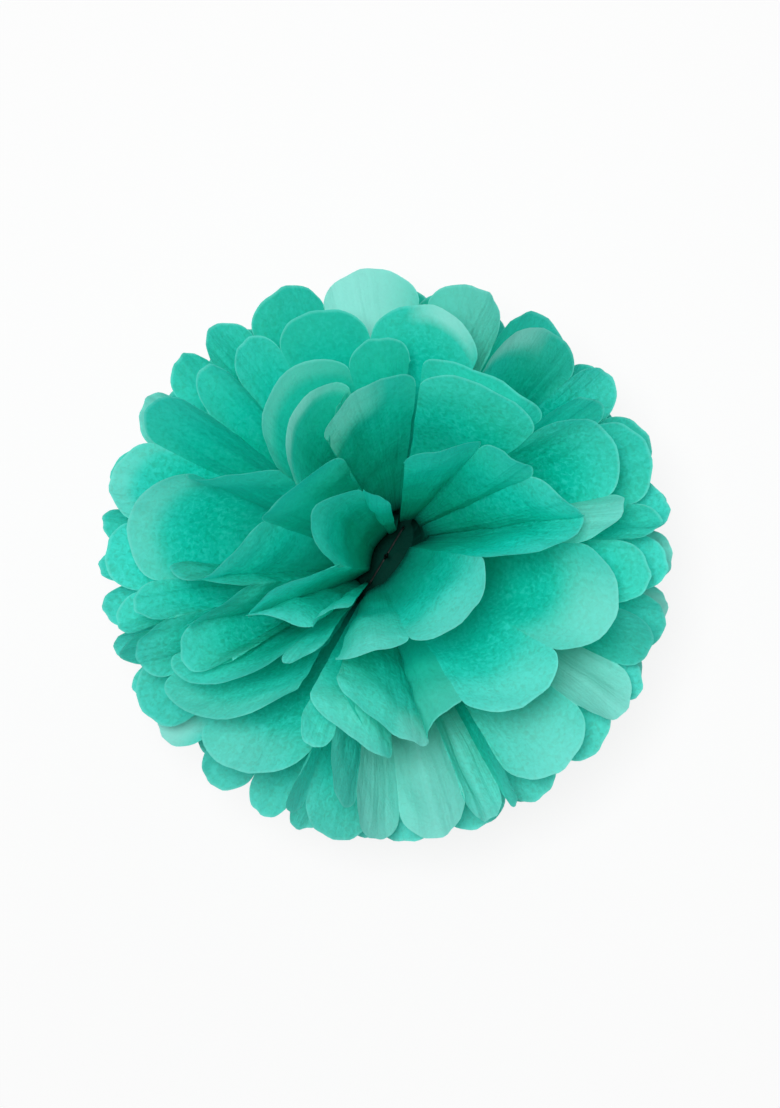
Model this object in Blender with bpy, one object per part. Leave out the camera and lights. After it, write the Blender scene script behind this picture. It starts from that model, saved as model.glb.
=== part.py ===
"""Tissue paper pom pom, in metres, Z up, resting on the tips of its lowest leaves.

Ten sheets of tissue were folded together in pleats, tied round the middle, cut round at both ends
and pulled apart one by one. Each sheet is one piece: a small flat middle and two fans of leaves.
A fan is given by its folds, and a fold by three angles in degrees: the azimuth about the upright
axis of the ball, the lean away from that axis, and how far the leaf that follows bows out. The
leaf ends in a scallop.
"""

import math
import random

import bmesh
import bpy
from mathutils import Matrix, Vector

NOTCH_RADIUS = 0.111  # middle of the ball to the notch between two scallops
SCALLOP_HEIGHT = 0.014  # from there out to the top of a scallop
PLEAT_WIDTH = 0.0375  # width of one leaf across its scallop
PAPER = 0.0004  # thickness that stands for one sheet of tissue
LAYER_GAP = 0.0006  # clear space between two sheets where they are tied

HUB_HALF = 0.011  # half the width of the tied middle
HUB_ROUND = 0.003  # how far the flat middle reaches out from its own centre line
HUB_AZIMUTH = 59.0  # direction of that width
SPREAD_START, SPREAD_END = 0.004, 0.031  # the leaves turn from flat to their own lean between these
FLOOR_DROP = 0.1125  # the lowest tips bend over at this depth below the middle

WIRE = 0.0008  # diameter of the tie wire
WIRE_GAP = 0.0004  # clearance between wire and paper
TWIST_LENGTH, TWIST_PITCH = 0.010, 0.005  # height of the twisted end and of one turn of it


# The folds that were read from the picture, innermost sheet first: left fan, then right fan. Each
# has its azimuth, its lean, and how far the leaf that follows bows out, all in degrees.
UPPER_SHEETS = (
    (
        ((84, 10, -1.5), (110, 13.5, 5), (193, 9, 0.5), (204, 31, -3), (224, 20, -2), (235, 12)),
        ((-116, 23, -2.8), (-74, 17, 1.3), (0, 19, 1), (12, 44, -5), (29, 35, -4.8), (49, 30, -3.5),
         (78, 19)),
    ),
    (
        ((80, 38, 1), (117, 27, 0), (102, 37, 1.5), (141, 23, 0), (113, 21, -1), (164, 26, -7),
         (182, 48, -1), (192, 28, -2), (199, 46, 3), (214, 41, 0), (205, 57, 3), (224, 29, 0),
         (235, 22)),
        ((-119, 33, -3), (-88, 44, 0), (-112, 27, 0), (-77, 42, -4), (-62, 35, 2.5), (-29, 43, 6),
         (4, 44, -2), (15, 57, 5), (39.5, 42, -1), (78.7, 38)),
    ),
    (
        ((83, 45, -2), (101, 43, 6), (141, 28, -3), (157, 48, 4.5), (186, 57, 1), (196, 52, 1),
         (209, 66, 2), (236, 34)),
        ((-118, 38, 0), (-106, 40.5, 0), (-97, 62, 1), (-87, 80, 1), (-72, 66, 1), (-64, 76, 0),
         (-61, 62, 3), (-38, 65, 1), (-25, 78, 1), (-12, 56, 2), (4, 58, 2), (12, 72, 2), (32, 66, 2),
         (41, 47, -4), (79, 44)),
    ),
    (
        ((65, 51, 2), (94, 53.5, 1), (117, 57.5, 1), (130, 54, 2), (141, 57, 2), (154, 76, 2),
         (172, 67, 2), (188, 68, 2), (197, 61, 1), (204, 80, 1), (220, 74)),
        ((-137, 66, 0), (-111, 48, 1), (-108, 74, 0), (-93, 87, 0), (-78, 84, 1), (-63, 84, 0),
         (-50, 74, 2), (-33, 78, 2), (-22, 84, 1), (-8, 68, 2), (5, 70, 2), (17, 82, 2), (32, 82, 2),
         (44, 78, 2), (62, 52)),
    ),
    (
        ((82.5, 79, 1), (104, 74, 1), (121, 84, 1), (132, 74, 1), (143, 80, 1), (155, 88, 1),
         (170, 84, 1), (178, 87, 0), (186, 81, 1), (196, 82, 1), (204, 88, 0), (213, 87, 0), (225, 84)),
        ((-133, 82, 1), (-121, 85, 0), (-111, 82, 1), (-101, 90, 1), (-87, 94, 1), (-76, 91, 1),
         (-65, 91, 1), (-50, 88, 2), (-34, 88, 2), (-20, 91, 2), (-6, 82, 2), (6, 83, 2), (18, 93, 2),
         (32, 93, 2), (46, 90, 2), (63, 63, 2), (80.5, 79)),
    ),
)

# The sheets below are not seen: the mean lean of each, and the leaves in each of their fans. Their
# folds stand in and out by the swing, and two fans part by the slit. All of these are in degrees.
LOWER_SHEETS = (101.0, 114.0, 128.0, 143.0, 158.0)
LOWER_LEAVES = 10
LOWER_SLITS, SLIT_WIDTH = (-99.0, 81.0), 8.0
LOWER_SWING = 9.0
LOWER_UNEVEN, LOWER_SHIFT = 1.2, 1.0  # how far a fold strays in lean and in azimuth
LEAST_BOW = 1.0
LOWER_SEED = 7


def smooth(value, start, end):
    part = min(max((value - start) / (end - start), 0.0), 1.0)
    return part * part * (3.0 - 2.0 * part)


def direction(azimuth, lean):
    a, b = math.radians(azimuth), math.radians(lean)
    return Vector((math.sin(b) * math.cos(a), math.sin(b) * math.sin(a), math.cos(b)))


def pleat_bow(first, second):
    """How far, in degrees, a pleat of the full width bows out between these two folds.

    A shallow arc over a chord is higher than the chord by the root of 3/8 of chord and spare length.
    """
    chord = (direction(*second) - direction(*first)).length
    spare = max(PLEAT_WIDTH / NOTCH_RADIUS - chord, 0.0)
    return math.degrees(math.sqrt(3.0 / 8.0 * chord * spare)) + LEAST_BOW


def leaf_direction(first, second, bow, s):
    """A point on the bowed arc between two folds, as a direction, with s from 0 to 1."""
    chord = second - first
    middle = (first + second).normalized()
    outward = chord.cross(middle).normalized()
    away = math.radians(bow) * 4.0 * s * (1.0 - s)
    return (first + chord * s + outward * away).normalized()


def lower_sheet(lean, rng):
    """Two fans whose folds swing in and out as far as the width of a pleat asks."""
    swing = LOWER_SWING * abs(math.cos(math.radians(lean)))
    step = (180.0 - SLIT_WIDTH) / LOWER_LEAVES
    fans = []
    for slit in LOWER_SLITS:
        fan = []
        for i in range(LOWER_LEAVES + 1):
            sign = 1.0 if i % 2 else -1.0
            shift = rng.uniform(-LOWER_SHIFT, LOWER_SHIFT) if 0 < i < LOWER_LEAVES else 0.0
            away = lean + sign * swing + rng.uniform(-LOWER_UNEVEN, LOWER_UNEVEN)
            fan.append((slit + SLIT_WIDTH / 2 + i * step + shift, away))
        bows = [pleat_bow(first, second) for first, second in zip(fan, fan[1:])] + [0.0]
        fans.append(tuple((*fold, bow) for fold, bow in zip(fan, bows)))
    return fans


def scallop(s):
    return NOTCH_RADIUS + SCALLOP_HEIGHT * math.sqrt(max(1.0 - (2.0 * s - 1.0) ** 2, 0.0))


def near_hub(azimuth, slits):
    """The azimuth beside the tie of what lies at this azimuth further out."""
    top, low = slits
    turn = (azimuth - top) % 360.0
    width = (low - top) % 360.0
    if turn <= width:
        part = turn / width
        start = 0.0
    else:
        part = (turn - width) / (360.0 - width)
        start = 180.0
    free = math.degrees(math.asin((WIRE / 2 + WIRE_GAP + PAPER / 2) / HUB_ROUND))
    return HUB_AZIMUTH + start + free + part * (180.0 - 2.0 * free)


def place(radius, aim, layer, slits):
    """The point of a sheet at this distance from the tie along this direction."""
    lean = math.degrees(math.acos(max(-1.0, min(1.0, aim.z))))
    azimuth = math.degrees(math.atan2(aim.y, aim.x))
    spread = smooth(radius, SPREAD_START, SPREAD_END)
    close = near_hub(azimuth, slits)
    azimuth = close + ((azimuth - close + 180.0) % 360.0 - 180.0) * spread
    lean = math.radians(90.0 + (lean - 90.0) * spread)
    turn = math.radians(azimuth - HUB_AZIMUTH)
    out = radius * math.sin(lean)
    height = radius * math.cos(lean) + layer
    if height < -FLOOR_DROP:
        out += -FLOOR_DROP - height
        height = -FLOOR_DROP
    shift = HUB_HALF * max(1.0 - radius / NOTCH_RADIUS, 0.0)
    point = Vector(((out + shift) * math.cos(turn), out * math.sin(turn), height))
    return Matrix.Rotation(math.radians(HUB_AZIMUTH), 3, "Z") @ point


# Rows of points from the tie outwards: share of the way to the notches, and parts of a leaf there.
# The last row follows the scallops.
UPPER_ROWS = ((0.0, 1), (0.075, 1), (0.14, 2), (0.19, 2), (0.25, 2), (0.66, 3), (1.0, 5))
LOWER_ROWS = ((0.0, 1), (0.075, 1), (0.17, 1), (0.29, 1), (0.66, 2), (1.0, 4))


def fan_rows(mesh, folds, layer, slits, steps):
    """Rows of (place along the fan, vertex) from the tie to the scallops."""
    aims = [direction(*fold[:2]) for fold in folds]
    rows = []
    for share, parts in steps:
        row = []
        for i in range(len(aims) - 1):
            for j in range(parts + (i == len(aims) - 2)):
                s = j / parts
                reach = HUB_ROUND + share * (NOTCH_RADIUS - HUB_ROUND) if share < 1.0 else scallop(s)
                aim = leaf_direction(aims[i], aims[i + 1], folds[i][2], s)
                point = place(reach, aim, layer, slits)
                row.append((i + s, mesh.verts.new(point)))
        rows.append(row)
    return rows


def bridge(mesh, inner, outer):
    """Triangles between two rows that run the same way."""
    i = j = 0
    while i < len(inner) - 1 or j < len(outer) - 1:
        if j == len(outer) - 1:
            forward = True
        elif i == len(inner) - 1:
            forward = False
        else:
            forward = inner[i + 1][0] < outer[j + 1][0] + 1e-9
        if forward:
            mesh.faces.new((inner[i][1], outer[j][1], inner[i + 1][1]))
            i += 1
        else:
            mesh.faces.new((inner[i][1], outer[j][1], outer[j + 1][1]))
            j += 1


def paper(name, shade):
    material = bpy.data.materials.new(name)
    material.use_nodes = True
    shader = material.node_tree.nodes["Principled BSDF"]
    shader.inputs["Base Color"].default_value = (0.01 * shade, 0.49 * shade, 0.36 * shade, 1.0)
    shader.inputs["Roughness"].default_value = 0.8
    return material


def add_sheet(number, fans, layer, steps):
    name = f"tissue_sheet_{number:02d}"
    slits = (
        (fans[0][0][0] + fans[1][-1][0]) / 2.0,
        (fans[0][-1][0] + fans[1][0][0] + 360.0) / 2.0,
    )
    mesh = bmesh.new()
    edge = []
    for folds in fans:
        rows = fan_rows(mesh, folds, layer, slits, steps)
        for inner, outer in zip(rows, rows[1:]):
            bridge(mesh, inner, outer)
        edge += [vertex for _, vertex in rows[0]]
    middle = mesh.faces.new(edge)
    bmesh.ops.triangulate(mesh, faces=[middle])
    bmesh.ops.recalc_face_normals(mesh, faces=mesh.faces)
    data = bpy.data.meshes.new(name)
    mesh.to_mesh(data)
    mesh.free()
    sheet = bpy.data.objects.new(name, data)
    bpy.context.collection.objects.link(sheet)
    data.materials.append(paper(name, 1.0 - 0.02 * number))
    wall = sheet.modifiers.new("Paper", "SOLIDIFY")
    wall.thickness = PAPER
    wall.offset = 0.0
    return sheet


def wire_path(stack):
    """Up through one end of the tied middle, over it, round and back, then a twist that stands up."""
    side = HUB_HALF + HUB_ROUND + WIRE / 2 + WIRE_GAP
    top = stack / 2 + PAPER / 2 + WIRE_GAP + WIRE / 2
    bend = WIRE * 2.0
    half = WIRE * 0.75
    steps = int(6 * TWIST_LENGTH / TWIST_PITCH)
    twist = []
    for i in range(steps + 1):
        angle = math.tau * i / 6
        rise = bend + TWIST_LENGTH * i / steps
        twist.append((half * math.cos(angle), half * math.sin(angle), top + rise))
    points = list(reversed(twist))
    points.append((half * 2.5, 0.0, top))
    corners = ((side, top, 90.0), (side, -top, 0.0), (-side, -top, -90.0), (-side, top, -180.0))
    for x, z, start in corners:
        cx, cz = x - math.copysign(bend, x), z - math.copysign(bend, z)
        for step in range(4):
            angle = math.radians(start - 30.0 * step)
            points.append((cx + bend * math.cos(angle), 0.0, cz + bend * math.sin(angle)))
    points.append((-half * 2.5, 0.0, top))
    points += [(-x, -y, z) for x, y, z in twist]
    return points


def add_wire(stack):
    turn = Matrix.Rotation(math.radians(HUB_AZIMUTH), 3, "Z")
    curve = bpy.data.curves.new("tie_wire", "CURVE")
    curve.dimensions = "3D"
    curve.bevel_depth = WIRE / 2
    curve.bevel_resolution = 1
    curve.use_fill_caps = True
    points = wire_path(stack)
    line = curve.splines.new("POLY")
    line.points.add(len(points) - 1)
    for spot, point in zip(line.points, points):
        spot.co = (*(turn @ Vector(point)), 1.0)
    wire = bpy.data.objects.new("tie_wire", curve)
    bpy.context.collection.objects.link(wire)
    metal = bpy.data.materials.new("tie_wire")
    metal.use_nodes = True
    shader = metal.node_tree.nodes["Principled BSDF"]
    shader.inputs["Base Color"].default_value = (0.4, 0.4, 0.38, 1.0)
    shader.inputs["Metallic"].default_value = 1.0
    shader.inputs["Roughness"].default_value = 0.35
    curve.materials.append(metal)
    return wire


def stand_on_origin(objects):
    """Moves everything so that the box round it stands on Z = 0, centred on X = Y = 0."""
    bpy.context.view_layer.update()
    graph = bpy.context.evaluated_depsgraph_get()
    corners = []
    for item in objects:
        solid = item.evaluated_get(graph)
        shape = solid.to_mesh()
        corners += [item.matrix_world @ vertex.co for vertex in shape.vertices]
        solid.to_mesh_clear()
    low = [min(corner[axis] for corner in corners) for axis in range(3)]
    high = [max(corner[axis] for corner in corners) for axis in range(3)]
    shift = Vector((-(low[0] + high[0]) / 2, -(low[1] + high[1]) / 2, -low[2]))
    for item in objects:
        item.location += shift


def main():
    for item in list(bpy.data.objects):
        bpy.data.objects.remove(item)
    rng = random.Random(LOWER_SEED)
    sheets = [(fans, UPPER_ROWS) for fans in UPPER_SHEETS]
    sheets += [(lower_sheet(lean, rng), LOWER_ROWS) for lean in LOWER_SHEETS]
    pitch = PAPER + LAYER_GAP
    stack = pitch * (len(sheets) - 1)
    objects = [
        add_sheet(i + 1, fans, stack / 2 - pitch * i, steps)
        for i, (fans, steps) in enumerate(sheets)
    ]
    objects.append(add_wire(stack))
    stand_on_origin(objects)


main()
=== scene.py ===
"""Looks of the tissue paper pom pom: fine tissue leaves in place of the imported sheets, seen from above."""

import math
import random

import bpy
import numpy as np
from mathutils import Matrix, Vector

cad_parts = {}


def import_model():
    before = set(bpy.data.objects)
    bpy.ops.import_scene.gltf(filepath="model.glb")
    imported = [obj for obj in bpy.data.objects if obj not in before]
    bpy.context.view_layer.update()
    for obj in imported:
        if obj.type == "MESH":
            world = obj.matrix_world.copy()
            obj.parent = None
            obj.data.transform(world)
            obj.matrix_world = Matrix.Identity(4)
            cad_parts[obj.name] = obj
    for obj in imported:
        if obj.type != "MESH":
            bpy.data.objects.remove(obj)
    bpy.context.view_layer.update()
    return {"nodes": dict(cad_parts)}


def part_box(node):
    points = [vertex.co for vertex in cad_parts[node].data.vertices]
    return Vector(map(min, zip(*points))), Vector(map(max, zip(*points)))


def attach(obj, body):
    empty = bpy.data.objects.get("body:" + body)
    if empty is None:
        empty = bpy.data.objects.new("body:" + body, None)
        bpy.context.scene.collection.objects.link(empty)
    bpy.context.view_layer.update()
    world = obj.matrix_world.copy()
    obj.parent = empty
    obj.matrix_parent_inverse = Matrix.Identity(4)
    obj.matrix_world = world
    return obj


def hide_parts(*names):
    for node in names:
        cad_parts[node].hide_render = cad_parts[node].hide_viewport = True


NOTCH_RADIUS, SCALLOP_HEIGHT, PLEAT_WIDTH = 0.111, 0.014, 0.0375
PAPER, LAYER_GAP = 0.0004, 0.0006
HUB_HALF, HUB_ROUND, HUB_AZIMUTH = 0.011, 0.003, 59.0
SPREAD_START, SPREAD_END = 0.004, 0.024
FLOOR_DROP = 0.1125
WIRE, WIRE_GAP = 0.0008, 0.0004

# Folds of each sheet, innermost sheet first, left fan, then right fan: azimuth, lean, and how far the
# leaf that follows bows out, in degrees.
UPPER_SHEETS = (
    (
        ((84, 10, -1.5), (110, 13.5, 5), (193, 9, 0.5), (204, 31, -3), (224, 20, -2), (235, 12)),
        ((-116, 23, -2.8), (-74, 17, 1.3), (0, 19, 1), (12, 44, -5), (29, 35, -4.8), (49, 30, -3.5),
         (78, 19)),
    ),
    (
        ((80, 38, 1), (117, 27, 0), (102, 37, 1.5), (141, 23, 0), (113, 21, -1), (164, 26, -7),
         (182, 48, -1), (192, 28, -2), (199, 46, 3), (214, 41, 0), (205, 57, 3), (224, 29, 0),
         (235, 22)),
        ((-119, 33, -3), (-88, 44, 0), (-112, 27, 0), (-77, 42, -4), (-62, 35, 2.5), (-29, 43, 6),
         (4, 44, -2), (15, 57, 5), (39.5, 42, -1), (78.7, 38)),
    ),
    (
        ((83, 45, -2), (101, 43, 6), (141, 28, -3), (157, 48, 4.5), (186, 57, 1), (196, 52, 1),
         (209, 66, 2), (236, 34)),
        ((-118, 38, 0), (-106, 40.5, 0), (-97, 62, 1), (-87, 80, 1), (-72, 66, 1), (-64, 76, 0),
         (-61, 62, 3), (-38, 65, 1), (-25, 78, 1), (-12, 56, 2), (4, 58, 2), (12, 72, 2), (32, 66, 2),
         (41, 47, -4), (79, 44)),
    ),
    (
        ((65, 51, 2), (94, 53.5, 1), (117, 57.5, 1), (130, 54, 2), (141, 57, 2), (154, 76, 2),
         (172, 67, 2), (188, 68, 2), (197, 61, 1), (204, 80, 1), (220, 74)),
        ((-137, 66, 0), (-111, 48, 1), (-108, 74, 0), (-93, 87, 0), (-78, 84, 1), (-63, 84, 0),
         (-50, 74, 2), (-33, 78, 2), (-22, 84, 1), (-8, 68, 2), (5, 70, 2), (17, 82, 2), (32, 82, 2),
         (44, 78, 2), (62, 52)),
    ),
    (
        ((82.5, 79, 1), (104, 74, 1), (121, 84, 1), (132, 74, 1), (143, 80, 1), (155, 88, 1),
         (170, 84, 1), (178, 87, 0), (186, 81, 1), (196, 82, 1), (204, 88, 0), (213, 87, 0), (225, 84)),
        ((-133, 82, 1), (-121, 85, 0), (-111, 82, 1), (-101, 90, 1), (-87, 94, 1), (-76, 91, 1),
         (-65, 91, 1), (-50, 88, 2), (-34, 88, 2), (-20, 91, 2), (-6, 82, 2), (6, 83, 2), (18, 93, 2),
         (32, 93, 2), (46, 90, 2), (63, 63, 2), (80.5, 79)),
    ),
)
LOWER_SHEETS = (101.0, 114.0, 128.0, 143.0, 158.0)
LOWER_LEAVES = 10
LOWER_SLITS, SLIT_WIDTH = (-99.0, 81.0), 8.0
LOWER_SWING = 9.0
LOWER_UNEVEN, LOWER_SHIFT = 1.2, 1.0
LEAST_BOW = 1.0
LOWER_SEED = 7
LOWER_REACH = 6.0  # how far the outermost leaves close over the slit, in degrees
EQUATOR_BOW = -2.5  # the change of bow that brings the first lower sheet closer to the upper ones

ROWS, PARTS = 32, 22  # fineness of one leaf along and across
ROW_CROWDING = 1.4  # how much the rows crowd towards the scallop

# The soft form of a leaf: angles in radians, jags and crumples in metres, the rest in shares of the
# leaf's length or width.
CURL_LEAST, CURL_MOST, CURL_START, CURL_POWER = -0.01, 0.03, 0.72, 1.5
RIPPLE, RIPPLE_START, RIPPLE_FULL = 0.003, 0.25, 0.9
CREASES, CREASE_WIDTH, CREASE_DEPTH, CREASE_MORE, CREASE_SHEETS = 2, 0.2, 0.008, 0.003, 5
JAG_COARSE, JAG_FINE = (0.0005, 9.0), (0.0003, 23.0)  # depth and how many radians across a leaf
CRUMPLE_LARGE, CRUMPLE_SMALL = (0.022, 0.0005), (0.008, 0.00016)  # size and depth
CRUMPLE_WAVES, CRUMPLE_LEVEL = 7, 2.6
CRUMPLE_START, CRUMPLE_FULL = 0.15, 0.5
SHEET_SEED, CRUMPLE_SEED = 100, 200
SHARP_ANGLE = 38.0

# Tissue colours: deep and light for the mottling, fleck for the fibres, a dark one for the fibre grain that
# is also painted shade, a painted highlight for the rim line, painted light for pale patches and rims,
# painted shade for the tied middle, and the colour seen through the tissue.
TISSUE_DEEP, TISSUE_LIGHT = (0.001, 0.61, 0.47, 1.0), (0.01, 0.72, 0.61, 1.0)
TISSUE_FLECK, TISSUE_GRAIN_AND_SHADE = (0.045, 0.83, 0.74, 1.0), (0.0005, 0.33, 0.19, 1.0)
TISSUE_RIM_HIGHLIGHT, TISSUE_PAINTED_LIGHT = (0.26, 0.88, 0.80, 1.0), (0.34, 0.86, 0.78, 1.0)
TISSUE_MIDDLE_SHADE, TISSUE_THROUGH = (0.001, 0.05, 0.034, 1.0), (0.01, 0.82, 0.70, 1.0)
MIDDLE_SHADE_FULL, MIDDLE_SHADE_GONE = 0.05, 0.34  # shares of a leaf's length over which the painted shade of the tied middle fades out
TRANSLUCENT = 0.36
SPECULAR = 0.06

# The colour also holds some of the photograph's light and shade, which the lamps alone don't give:
# deeper leaves towards +Y, and rims that are paler towards -Y from this share of the length on.
TOP_SHADE, BOTTOM_PALE, BOTTOM_START = 1.6, 0.2, 0.6
PAINTED_LIGHT_RAMP = 0.6  # the share of the way to the rim over which a patch of painted light comes in

# Layers of the tissue's colour over TISSUE_DEEP, in order: what they follow, the stretch of it that
# counts, their share at its start and at its end, and their colour.
LAYERS = (
    ("cloud", 0.3, 0.7, 0.0, 1.0, TISSUE_LIGHT),
    ("fibre", 0.48, 0.7, 0.0, 0.7, TISSUE_FLECK),
    ("fibre", 0.3, 0.52, 0.6, 0.0, TISSUE_GRAIN_AND_SHADE),
    # Painted shade at the leaf bases, towards the tied middle.
    ("along", 0.25, 0.9, 0.65, 0.0, TISSUE_GRAIN_AND_SHADE),
    # Painted light: rims a little paler.
    ("along", 0.76, 1.0, 0.0, 0.2, TISSUE_PAINTED_LIGHT),
    # Darker leaves, partly at random and partly painted shade.
    ("shade", 0.0, 3.0, 0.0, 0.75, TISSUE_GRAIN_AND_SHADE),
    # A painted highlight along the rim line.
    ("along", 0.985, 1.0, 0.0, 0.5, TISSUE_RIM_HIGHLIGHT),
)
CLOUD_NOISE, FIBRE_NOISE = (26.0, 4.0, 0.0), (560.0, 4.0, 0.6)  # scale, detail and distortion
STREAK_NOISE, FOLD_NOISE = (1.6, 2.0, 0.5), (95.0, 3.0, 0.8)
STREAK_STRETCH = (4.0, 0.9, 1.0)
STREAK_BUMP, FOLD_BUMP, GRAIN_BUMP = (0.28, 0.004), (0.5, 0.0014), (0.5, 0.0004)  # strength, distance
TISSUE_ROUGH = (0.2, 0.8, 0.6, 0.8)  # from which to which fibre value, and the roughness at each

# A dark steel, because the photograph shows only shadow where the wire is.
WIRE_DARK, WIRE_LIGHT = (0.03, 0.035, 0.033, 1.0), (0.07, 0.075, 0.073, 1.0)
WIRE_GRAIN, WIRE_ROUGH = 900.0, (0.3, 0.5)

WHITE, FLOOR_COLOUR = (1.0, 1.0, 1.0, 1.0), (0.9, 0.9, 0.9, 1.0)
FLOOR_SIZE, FLOOR_CLEARANCE, FLOOR_WHITE = 6.0, 0.0005, 0.86
FLOOR_ROUGH, FLOOR_SPECULAR = 0.9, 0.1
WORLD_LIGHT = 0.17
KEY_SPOT, KEY_SIZE, KEY_POWER = (-0.10, 0.10, 1.2), 0.3, 12.6
FILL_SPOT, FILL_SIZE, FILL_POWER = (0.25, 0.9, 0.7), 0.8, 1.6

SENSOR, PICTURE_HEIGHT = 36.0, 1108.0
CAMERA_SCALE = 0.0004386  # metres for one pixel of the 780 by 1108 picture, at the middle of the ball
CAMERA_DISTANCE, CAMERA_SHIFT = 0.9, (4.0, 2.0)  # metres, and pixels to the right and up
CAMERA_NEAR, CAMERA_FAR = 0.01, 50.0

# What single leaves are given apart from the rest, by sheet, fan and leaf: where painted light makes the
# tissue pale (amount, middle and half width across the leaf, and where along it that starts), a rim that
# curls outward, a change of bow in degrees, the share of the full scallop that it has, and how much
# painted shade darkens it.
LOOKS = {
    (1, 1, 0): {"painted_light": (0.30, 0.5, 0.7, 0.55)},
    (1, 1, 1): {"painted_light": (0.30, 0.4, 0.6, 0.70), "curl": 0.04},
    (1, 1, 3): {"bow": 2.0},
    (1, 1, 4): {"bow": 2.0},
    (1, 1, 5): {"bow": 2.2},
    (2, 0, 0): {"painted_light": (0.45, 0.8, 0.5, 0.80)},
    (2, 0, 1): {"scallop": 0.1},
    (2, 0, 2): {"painted_light": (0.70, 0.5, 0.6, 0.93), "bow": 3.0},
    (2, 0, 3): {"scallop": 0.1},
    (2, 0, 9): {"scallop": 0.2},
    (2, 1, 0): {"painted_light": (0.35, 0.5, 0.7, 0.75)},
    (2, 1, 1): {"scallop": 0.2},
    (2, 1, 2): {"painted_light": (0.60, 0.9, 0.4, 0.80), "bow": -2.5, "scallop": 0.9},
    (2, 1, 3): {"scallop": 0.2, "shade": 2.4},
    (2, 1, 4): {"painted_light": (0.30, 0.5, 0.7, 0.70)},
    (2, 1, 5): {"painted_light": (0.50, 0.4, 0.6, 0.70)},
    (2, 1, 6): {"painted_light": (0.50, 0.5, 0.8, 0.60)},
    (3, 0, 1): {"painted_light": (0.30, 0.5, 0.6, 0.90)},
    (3, 0, 3): {"painted_light": (0.30, 0.5, 0.7, 0.85)},
    (3, 0, 6): {"painted_light": (0.25, 0.5, 0.7, 0.85)},
    (3, 1, 2): {"painted_light": (0.70, 0.5, 1.5, 0.10)},
    (3, 1, 3): {"painted_light": (0.75, 0.4, 1.5, 0.10)},
    (3, 1, 4): {"painted_light": (0.45, 0.5, 0.8, 0.30)},
    (3, 1, 6): {"painted_light": (0.45, 0.5, 0.8, 0.55)},
    (3, 1, 7): {"painted_light": (0.80, 0.5, 1.5, 0.30)},
    (4, 0, 0): {"painted_light": (0.90, 0.35, 0.35, 0.92)},
    (4, 0, 5): {"painted_light": (0.35, 0.5, 0.7, 0.90)},
    (4, 1, 0): {"painted_light": (0.35, 0.4, 0.6, 0.75)},
    (4, 1, 13): {"painted_light": (0.80, 0.75, 0.4, 0.88), "shade": 2.0},
    (5, 0, 0): {"painted_light": (1.0, 0.75, 0.9, 0.10)},
    (5, 0, 4): {"painted_light": (0.50, 0.5, 0.7, 0.88)},
    (5, 0, 11): {"painted_light": (1.0, 0.5, 0.5, 0.80)},
    (5, 1, 8): {"painted_light": (0.50, 0.5, 0.8, 0.70)},
    (5, 1, 9): {"painted_light": (0.90, 0.5, 0.5, 0.75)},
    (5, 1, 10): {"painted_light": (0.50, 0.5, 0.8, 0.70)},
    (5, 1, 15): {"painted_light": (0.35, 0.5, 0.9, 0.40)},
}


def smooth(value, start, end):
    """0 up to the start, 1 from the end on, and smooth in between."""
    part = np.clip((np.asarray(value, float) - start) / (end - start), 0.0, 1.0)
    return part * part * (3.0 - 2.0 * part)


def direction(azimuth, lean):
    """The unit vector at this azimuth and this lean away from +Z, both in degrees."""
    a, b = math.radians(azimuth), math.radians(lean)
    return np.array((math.sin(b) * math.cos(a), math.sin(b) * math.sin(a), math.cos(b)))


def pleat_bow(first, second):
    """How far, in degrees, a pleat of the full width bows out between these two folds."""
    chord = np.linalg.norm(direction(*second[:2]) - direction(*first[:2]))
    spare = max(PLEAT_WIDTH / NOTCH_RADIUS - chord, 0.0)
    return math.degrees(math.sqrt(3.0 / 8.0 * chord * spare)) + LEAST_BOW


def lower_sheet(lean, rng):
    """The folds of a lower sheet's two fans, which swing in and out around this lean."""
    swing = LOWER_SWING * abs(math.cos(math.radians(lean)))
    step = (180.0 - SLIT_WIDTH) / LOWER_LEAVES
    fans = []
    for slit in LOWER_SLITS:
        fan = []
        for i in range(LOWER_LEAVES + 1):
            sign = 1.0 if i % 2 else -1.0
            shift = rng.uniform(-LOWER_SHIFT, LOWER_SHIFT) if 0 < i < LOWER_LEAVES else 0.0
            away = lean + sign * swing + rng.uniform(-LOWER_UNEVEN, LOWER_UNEVEN)
            reach = LOWER_REACH * ((i == LOWER_LEAVES) - (i == 0))
            fan.append((slit + SLIT_WIDTH / 2 + i * step + shift + reach, away))
        bows = [pleat_bow(a, b) for a, b in zip(fan, fan[1:])] + [0.0]
        fans.append(tuple((*fold, bow) for fold, bow in zip(fan, bows)))
    return fans[1], fans[0]


def near_hub(azimuth, slits):
    """The azimuth beside the tie of what lies at this azimuth further out."""
    top, low = slits
    turn = (azimuth - top) % 360.0
    width = (low - top) % 360.0
    part = np.where(turn <= width, turn / width, (turn - width) / (360.0 - width))
    start = np.where(turn <= width, 0.0, 180.0)
    free = math.degrees(math.asin((WIRE / 2 + WIRE_GAP + PAPER / 2) / HUB_ROUND))
    return HUB_AZIMUTH + start + free + part * (180.0 - 2.0 * free)


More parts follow.
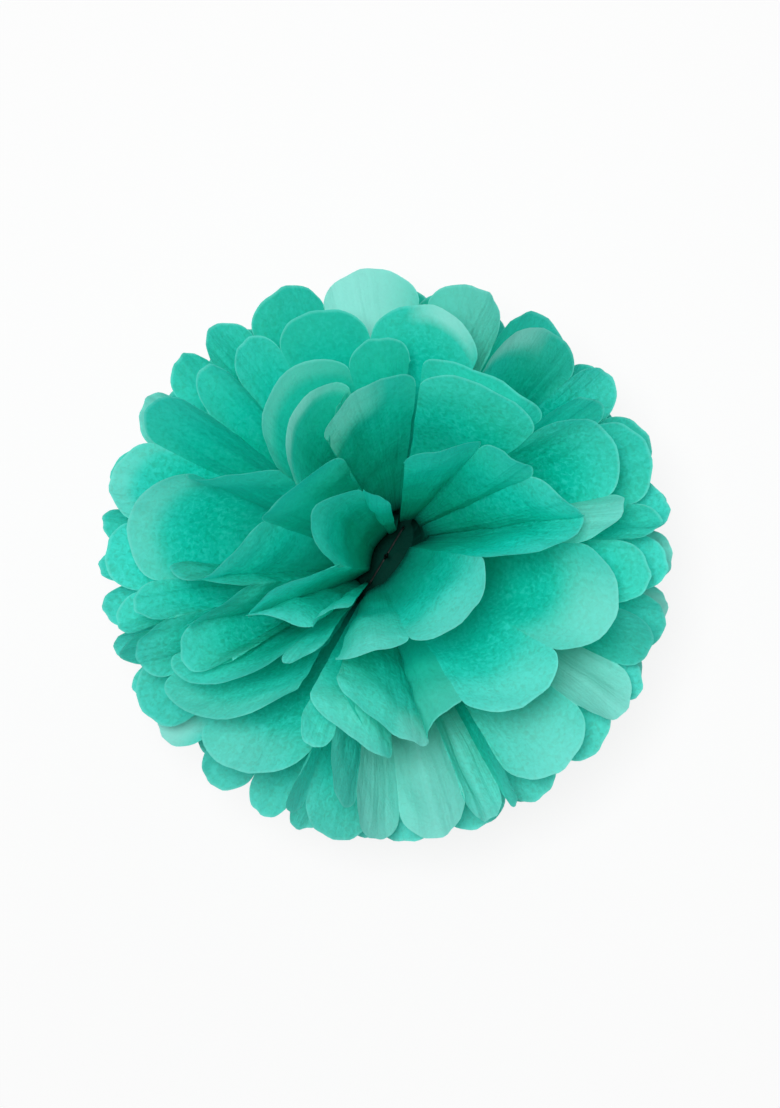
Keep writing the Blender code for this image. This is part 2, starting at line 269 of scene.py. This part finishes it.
def place(radius, aim, layer, slits):
    """Points at these distances from the tie along these directions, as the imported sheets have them."""
    lean = np.degrees(np.arccos(np.clip(aim[..., 2], -1.0, 1.0)))
    azimuth = np.degrees(np.arctan2(aim[..., 1], aim[..., 0]))
    spread = smooth(radius, SPREAD_START, SPREAD_END)
    close = near_hub(azimuth, slits)
    azimuth = close + ((azimuth - close + 180.0) % 360.0 - 180.0) * spread
    lean = np.radians(90.0 + (lean - 90.0) * spread)
    turn = np.radians(azimuth - HUB_AZIMUTH)
    out = radius * np.sin(lean)
    height = radius * np.cos(lean) + layer
    under = np.maximum(-FLOOR_DROP - height, 0.0)
    out, height = out + under, height + under
    shift = HUB_HALF * np.clip(1.0 - radius / NOTCH_RADIUS, 0.0, 1.0)
    x, y = (out + shift) * np.cos(turn), out * np.sin(turn)
    c, s = math.cos(math.radians(HUB_AZIMUTH)), math.sin(math.radians(HUB_AZIMUTH))
    return np.stack([c * x - s * y, s * x + c * y, height], axis=-1)


def leaf(first, second, bow, rng, look):
    """(radius, direction) arrays of one leaf, rows from the tie to the scallop."""
    chord = second - first
    middle = (first + second) / np.linalg.norm(first + second)
    turned = math.copysign(1.0, np.cross(first, second)[2])
    outward = turned * np.cross(chord, middle)
    outward /= np.linalg.norm(outward)
    s = 0.5 - 0.5 * np.cos(np.linspace(0.0, math.pi, PARTS + 1))
    t = (1.0 - (1.0 - np.linspace(0.0, 1.0, ROWS)) ** ROW_CROWDING)[:, None]
    hump = 4.0 * s * (1.0 - s)
    curl = look.get("curl", rng.uniform(CURL_LEAST, CURL_MOST))
    bow = turned * math.radians(bow + look.get("bow", 0.0))
    push = hump * (bow + curl * smooth(t, CURL_START, 1.0) ** CURL_POWER)
    waves = rng.choice((1, 2, 3))
    phase = rng.uniform(0.0, math.tau)
    ripple = RIPPLE * np.sin(math.tau * waves * s + phase) * np.sin(math.pi * s)
    push = push + ripple * smooth(t, RIPPLE_START, RIPPLE_FULL)
    for _ in range(CREASES):
        at, depth = rng.uniform(0.2, 0.8), look["crease"] * rng.uniform(-1.0, 1.0)
        crease = depth * np.maximum(1.0 - np.abs(s - at) / CREASE_WIDTH, 0.0)
        push = push + crease * smooth(t, 0.05, 0.4) * (1.0 - 0.75 * smooth(t, 0.6, 1.0))
    aim = first + chord * s[:, None] + 0.0 * t[..., None]
    aim = aim + outward * push[..., None]
    aim /= np.linalg.norm(aim, axis=-1, keepdims=True)
    jag = JAG_COARSE[0] * np.sin(JAG_COARSE[1] * s + phase)
    jag = jag + JAG_FINE[0] * np.sin(JAG_FINE[1] * s + 2.0 * phase)
    rim = NOTCH_RADIUS + look.get("scallop", 1.0) * SCALLOP_HEIGHT * np.sqrt(hump) + jag * hump
    radius = HUB_ROUND + (rim - HUB_ROUND) * t
    return radius, aim, s, t


def crumple(points, rng, size, depth):
    """Small folds that run through the sheet: a sum of waves in several directions."""
    total = np.zeros(points.shape[:-1])
    for _ in range(CRUMPLE_WAVES):
        way = rng.normal(size=3)
        way *= math.tau / (size * rng.uniform(0.6, 1.6)) / np.linalg.norm(way)
        total += np.sin(points @ way + rng.uniform(0.0, math.tau))
    return total * depth / CRUMPLE_LEVEL


def leaf_tone(look, first, s, t, rng):
    """How much painted light pales the tissue across and along one leaf, and how much darker the
    whole leaf is, partly at random and partly as painted shade.
    """
    tone = np.empty((len(t), len(s), 2))
    amount, at, half, begin = look.get("painted_light", (0.0, 0.5, 0.5, 0.0))
    across = np.maximum(1.0 - ((s - at) / half) ** 2, 0.0)
    # Painted light: given patches, and rims paler towards -Y.
    patch = amount * across * smooth(t, begin, begin + PAINTED_LIGHT_RAMP * (1.0 - begin))
    top = math.sin(math.radians(first[0]))
    tone[..., 0] = np.maximum(patch, BOTTOM_PALE * max(-top, 0.0) * smooth(t, BOTTOM_START, 1.0))
    # Darker leaves: a random part, plus painted shade towards +Y, or painted shade given for single leaves.
    tone[..., 1] = look.get("shade", rng.uniform(0.0, 1.0) + TOP_SHADE * max(top, 0.0))
    return tone


def fan_grid(number, side, folds, layer, slits, rng):
    """Points, leaf coordinates and tones of one fan, as grids from the tie to the scallops."""
    aims = [direction(*fold[:2]) for fold in folds]
    pieces = []
    for i in range(len(aims) - 1):
        look = {"crease": CREASE_DEPTH + CREASE_MORE * min(number, CREASE_SHEETS)}
        look |= LOOKS.get((number, side, i), {})
        if number == len(UPPER_SHEETS) + 1:
            look["bow"] = EQUATOR_BOW
        radius, aim, s, t = leaf(aims[i], aims[i + 1], folds[i][2], rng, look)
        keep = PARTS + 1 if i == len(aims) - 2 else PARTS
        spots = place(radius[:, :keep], aim[:, :keep], layer, slits)
        uv = np.stack([i + s[None, :keep] + 0.0 * t, t + 0.0 * s[None, :keep]], axis=-1)
        pieces.append((spots, uv, leaf_tone(look, folds[i], s[:keep], t, rng)))
    return [np.concatenate(part, axis=1) for part in zip(*pieces)]


def crumpled(grid, along, noise):
    """The grid with small folds in it, and with nothing below the surface that the ball rests on."""
    normal = np.cross(np.gradient(grid, axis=1), np.gradient(grid, axis=0))
    normal /= np.linalg.norm(normal, axis=-1, keepdims=True) + 1e-12
    amount = crumple(grid, noise, *CRUMPLE_LARGE) + crumple(grid, noise, *CRUMPLE_SMALL)
    grid = grid + normal * (amount * smooth(along, CRUMPLE_START, CRUMPLE_FULL))[..., None]
    grid[..., 2] = np.maximum(grid[..., 2], -FLOOR_DROP)
    return grid


def add_sheet(number, fans, layer, centre, material):
    """One sheet as a mesh: two fans of leaves, joined by the tied middle."""
    slits = (
        (fans[0][0][0] + fans[1][-1][0]) / 2.0,
        (fans[0][-1][0] + fans[1][0][0] + 360.0) / 2.0,
    )
    rng = random.Random(SHEET_SEED + number)
    noise = np.random.default_rng(CRUMPLE_SEED + number)
    points, faces, coords, tones, hub, count = [], [], [], [], [], 0
    for side, folds in enumerate(fans):
        grid, uvs, tone = fan_grid(number, side, folds, layer, slits, rng)
        grid = crumpled(grid, uvs[..., 1], noise)
        rows, cols = grid.shape[:2]
        index = count + np.arange(rows * cols).reshape(rows, cols)
        quads = np.stack([index[:-1, :-1], index[:-1, 1:], index[1:, 1:], index[1:, :-1]], axis=-1)
        faces += quads.reshape(-1, 4).tolist()
        points.append(grid.reshape(-1, 3))
        coords.append(uvs.reshape(-1, 2))
        tones.append(tone.reshape(-1, 2))
        hub += index[0].tolist()
        count += rows * cols
    faces.append(hub[::-1])
    name = f"tissue_leaves_{number:02d}"
    data = bpy.data.meshes.new(name)
    data.from_pydata((np.concatenate(points) + centre).tolist(), [], faces)
    loops = np.empty(len(data.loops), np.int32)
    data.loops.foreach_get("vertex_index", loops)
    for label, values in (("leaf", coords), ("tone", tones)):
        values = np.concatenate(values)[loops].astype(np.float32)
        data.uv_layers.new(name=label).data.foreach_set("uv", values.ravel())
    data.shade_smooth()
    data.set_sharp_from_angle(angle=math.radians(SHARP_ANGLE))
    data.materials.append(material)
    sheet = bpy.data.objects.new(name, data)
    bpy.context.collection.objects.link(sheet)
    return sheet


def add_noise(tree, where, scale, detail, distortion):
    noise = tree.nodes.new("ShaderNodeTexNoise")
    noise.inputs["Scale"].default_value = scale
    noise.inputs["Detail"].default_value = detail
    noise.inputs["Distortion"].default_value = distortion
    tree.links.new(where, noise.inputs["Vector"])
    return noise.outputs["Fac"]


def add_bump(tree, height, bump, below=None):
    """A normal that follows this height, on top of the bump below it, if there is one."""
    node = tree.nodes.new("ShaderNodeBump")
    node.inputs["Strength"].default_value, node.inputs["Distance"].default_value = bump
    tree.links.new(height, node.inputs["Height"])
    if below:
        tree.links.new(below, node.inputs["Normal"])
    return node.outputs["Normal"]


def add_range(tree, value, start, end, low, high):
    """The value's stretch from start to end, spread smoothly from low to high."""
    node = tree.nodes.new("ShaderNodeMapRange")
    node.interpolation_type = "SMOOTHSTEP"
    node.inputs["From Min"].default_value, node.inputs["From Max"].default_value = start, end
    node.inputs["To Min"].default_value, node.inputs["To Max"].default_value = low, high
    tree.links.new(value, node.inputs["Value"])
    return node.outputs["Result"]


def add_mix(tree, share, first, second):
    """A mix of two colours, each a socket or a fixed colour, by a socket or a fixed share."""
    node = tree.nodes.new("ShaderNodeMix")
    node.data_type = "RGBA"
    for name, value in (("Factor", share), ("A", first), ("B", second)):
        socket = next(item for item in node.inputs if item.name == name and item.enabled)
        if isinstance(value, (tuple, float)):
            socket.default_value = value
        else:
            tree.links.new(value, socket)
    return next(item for item in node.outputs if item.enabled)


def add_coordinates(tree, label):
    """The node for these coordinates of the mesh, and its two values."""
    node = tree.nodes.new("ShaderNodeUVMap")
    node.uv_map = label
    split = tree.nodes.new("ShaderNodeSeparateXYZ")
    tree.links.new(node.outputs["UV"], split.inputs["Vector"])
    return node, split.outputs["X"], split.outputs["Y"]


def tissue_material(name):
    """Dyed tissue: thin, matt and a little mottled, with painted light at its rims and in pale patches,
    painted shade at the leaf bases and in single leaves, and dark painted shade where it is tied.
    """
    material = bpy.data.materials.new(name)
    material.use_nodes = True
    tree = material.node_tree
    nodes, links = tree.nodes, tree.links
    shader = nodes["Principled BSDF"]
    where = nodes.new("ShaderNodeTexCoord").outputs["Object"]
    leaf_place, _, along = add_coordinates(tree, "leaf")
    _, painted_light, shade = add_coordinates(tree, "tone")
    cloud = add_noise(tree, where, *CLOUD_NOISE)
    fibre = add_noise(tree, where, *FIBRE_NOISE)
    values = {"cloud": cloud, "fibre": fibre, "along": along, "shade": shade}
    colour = TISSUE_DEEP
    for follows, begin, finish, low, high, layer in LAYERS:
        share = add_range(tree, values[follows], begin, finish, low, high)
        colour = add_mix(tree, share, colour, layer)
    # Painted light: pale patches and pale rims.
    colour = add_mix(tree, painted_light, colour, TISSUE_PAINTED_LIGHT)
    # Painted shade in the tied middle, fading out along each leaf.
    depth = add_range(tree, along, MIDDLE_SHADE_FULL, MIDDLE_SHADE_GONE, 1.0, 0.0)
    links.new(add_mix(tree, depth, colour, TISSUE_MIDDLE_SHADE), shader.inputs["Base Color"])
    links.new(add_range(tree, fibre, *TISSUE_ROUGH), shader.inputs["Roughness"])
    shader.inputs["Specular IOR Level"].default_value = SPECULAR
    stretch = nodes.new("ShaderNodeMapping")
    stretch.inputs["Scale"].default_value = STREAK_STRETCH
    links.new(leaf_place.outputs["UV"], stretch.inputs["Vector"])
    streak = add_noise(tree, stretch.outputs["Vector"], *STREAK_NOISE)
    normal = add_bump(tree, streak, STREAK_BUMP)
    normal = add_bump(tree, add_noise(tree, where, *FOLD_NOISE), FOLD_BUMP, normal)
    normal = add_bump(tree, fibre, GRAIN_BUMP, normal)
    links.new(normal, shader.inputs["Normal"])
    through = nodes.new("ShaderNodeBsdfTranslucent")
    # The colour seen through the tissue has the same painted light and painted shade.
    lit = add_mix(tree, painted_light, TISSUE_THROUGH, TISSUE_PAINTED_LIGHT)
    links.new(add_mix(tree, depth, lit, TISSUE_MIDDLE_SHADE), through.inputs["Color"])
    links.new(normal, through.inputs["Normal"])
    mix = nodes.new("ShaderNodeMixShader")
    mix.inputs["Fac"].default_value = TRANSLUCENT
    links.new(shader.outputs["BSDF"], mix.inputs[1])
    links.new(through.outputs["BSDF"], mix.inputs[2])
    links.new(mix.outputs["Shader"], nodes["Material Output"].inputs["Surface"])
    return material


def wire_material():
    material = bpy.data.materials.new("tie_wire_metal")
    material.use_nodes = True
    nodes, links = material.node_tree.nodes, material.node_tree.links
    shader = nodes["Principled BSDF"]
    shader.inputs["Metallic"].default_value = 1.0
    where = nodes.new("ShaderNodeTexCoord")
    drawn = nodes.new("ShaderNodeTexNoise")
    drawn.inputs["Scale"].default_value = WIRE_GRAIN
    links.new(where.outputs["Object"], drawn.inputs["Vector"])
    tone = nodes.new("ShaderNodeValToRGB")
    tone.color_ramp.elements[0].color = WIRE_DARK
    tone.color_ramp.elements[1].color = WIRE_LIGHT
    links.new(drawn.outputs["Fac"], tone.inputs["Fac"])
    links.new(tone.outputs["Color"], shader.inputs["Base Color"])
    rough = nodes.new("ShaderNodeMapRange")
    rough.inputs["To Min"].default_value, rough.inputs["To Max"].default_value = WIRE_ROUGH
    links.new(drawn.outputs["Fac"], rough.inputs["Value"])
    links.new(rough.outputs["Result"], shader.inputs["Roughness"])
    return material


def add_backdrop_switch(tree):
    """1 for what the camera sees, straight on, mirrored or through glass, else 0."""
    path = tree.nodes.new("ShaderNodeLightPath")
    total = path.outputs["Is Camera Ray"]
    for name in ("Is Glossy Ray", "Is Transmission Ray"):
        node = tree.nodes.new("ShaderNodeMath")
        node.operation = "MAXIMUM"
        tree.links.new(total, node.inputs[0])
        tree.links.new(path.outputs[name], node.inputs[1])
        total = node.outputs[0]
    return total


def add_floor():
    """A white floor that keeps a soft shadow."""
    mesh = bpy.data.meshes.new("floor")
    half = FLOOR_SIZE / 2
    corners = [(-half, -half, 0.0), (half, -half, 0.0), (half, half, 0.0), (-half, half, 0.0)]
    mesh.from_pydata(corners, [], [(0, 1, 2, 3)])
    floor = bpy.data.objects.new("floor", mesh)
    bpy.context.collection.objects.link(floor)
    floor.location.z = -FLOOR_CLEARANCE
    material = bpy.data.materials.new("floor")
    material.use_nodes = True
    tree = material.node_tree
    shader = tree.nodes["Principled BSDF"]
    shader.inputs["Base Color"].default_value = FLOOR_COLOUR
    shader.inputs["Roughness"].default_value = FLOOR_ROUGH
    shader.inputs["Specular IOR Level"].default_value = FLOOR_SPECULAR
    white = tree.nodes.new("ShaderNodeEmission")
    white.inputs["Strength"].default_value = 1.0
    share = tree.nodes.new("ShaderNodeMath")
    share.operation = "MULTIPLY"
    share.inputs[1].default_value = FLOOR_WHITE
    tree.links.new(add_backdrop_switch(tree), share.inputs[0])
    mix = tree.nodes.new("ShaderNodeMixShader")
    tree.links.new(share.outputs[0], mix.inputs["Fac"])
    tree.links.new(shader.outputs["BSDF"], mix.inputs[1])
    tree.links.new(white.outputs["Emission"], mix.inputs[2])
    tree.links.new(mix.outputs["Shader"], tree.nodes["Material Output"].inputs["Surface"])
    mesh.materials.append(material)


def add_lamp(name, spot, target, size, power):
    data = bpy.data.lights.new(name, "AREA")
    data.shape = "DISK"
    data.size = size
    data.energy = power
    lamp = bpy.data.objects.new(name, data)
    bpy.context.collection.objects.link(lamp)
    lamp.location = spot
    lamp.rotation_euler = (Vector(target) - Vector(spot)).to_track_quat("-Z", "Y").to_euler()


def add_world():
    """Even light from all round, seen as white."""
    world = bpy.data.worlds.new("studio")
    bpy.context.scene.world = world
    world.use_nodes = True
    tree = world.node_tree
    light = tree.nodes["Background"]
    light.inputs["Color"].default_value = WHITE
    light.inputs["Strength"].default_value = WORLD_LIGHT
    seen = tree.nodes.new("ShaderNodeBackground")
    seen.inputs["Color"].default_value = WHITE
    seen.inputs["Strength"].default_value = 1.0
    mix = tree.nodes.new("ShaderNodeMixShader")
    tree.links.new(add_backdrop_switch(tree), mix.inputs["Fac"])
    tree.links.new(light.outputs["Background"], mix.inputs[1])
    tree.links.new(seen.outputs["Background"], mix.inputs[2])
    tree.links.new(mix.outputs["Shader"], tree.nodes["World Output"].inputs["Surface"])


def add_camera(centre):
    """Straight above the ball, as in the photograph, with its top towards +Y."""
    data = bpy.data.cameras.new("camera")
    data.sensor_width = SENSOR
    data.sensor_fit = "AUTO"
    data.lens = SENSOR / PICTURE_HEIGHT * CAMERA_DISTANCE / CAMERA_SCALE
    data.clip_start, data.clip_end = CAMERA_NEAR, CAMERA_FAR
    camera = bpy.data.objects.new("camera", data)
    bpy.context.collection.objects.link(camera)
    right, up = CAMERA_SHIFT
    camera.location = (
        centre[0] + right * CAMERA_SCALE, centre[1] + up * CAMERA_SCALE, centre[2] + CAMERA_DISTANCE
    )
    camera.rotation_euler = (0.0, 0.0, 0.0)
    bpy.context.scene.camera = camera


def main():
    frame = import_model()
    low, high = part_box("tie_wire")
    pitch = PAPER + LAYER_GAP
    count = len(UPPER_SHEETS) + len(LOWER_SHEETS)
    stack = pitch * (count - 1)
    top = stack / 2 + PAPER / 2 + WIRE_GAP + WIRE / 2
    centre = np.array(((low[0] + high[0]) / 2, (low[1] + high[1]) / 2, low[2] + top + WIRE / 2))
    add_camera(centre)
    rng = random.Random(LOWER_SEED)
    sheets = list(UPPER_SHEETS) + [lower_sheet(lean, rng) for lean in LOWER_SHEETS]
    for i, fans in enumerate(sheets):
        number = i + 1
        material = tissue_material(f"tissue_{number:02d}")
        sheet = add_sheet(number, fans, stack / 2 - pitch * i, centre, material)
        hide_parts(f"tissue_sheet_{number:02d}")
        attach(sheet, "root")
    wire = frame["nodes"]["tie_wire"]
    for slot in wire.material_slots:
        slot.material = wire_material()
    add_floor()
    add_lamp("key", centre + np.array(KEY_SPOT), centre, KEY_SIZE, KEY_POWER)
    add_lamp("fill", centre + np.array(FILL_SPOT), centre, FILL_SIZE, FILL_POWER)
    add_world()
    scene = bpy.context.scene
    scene.view_settings.view_transform = "Standard"


main()
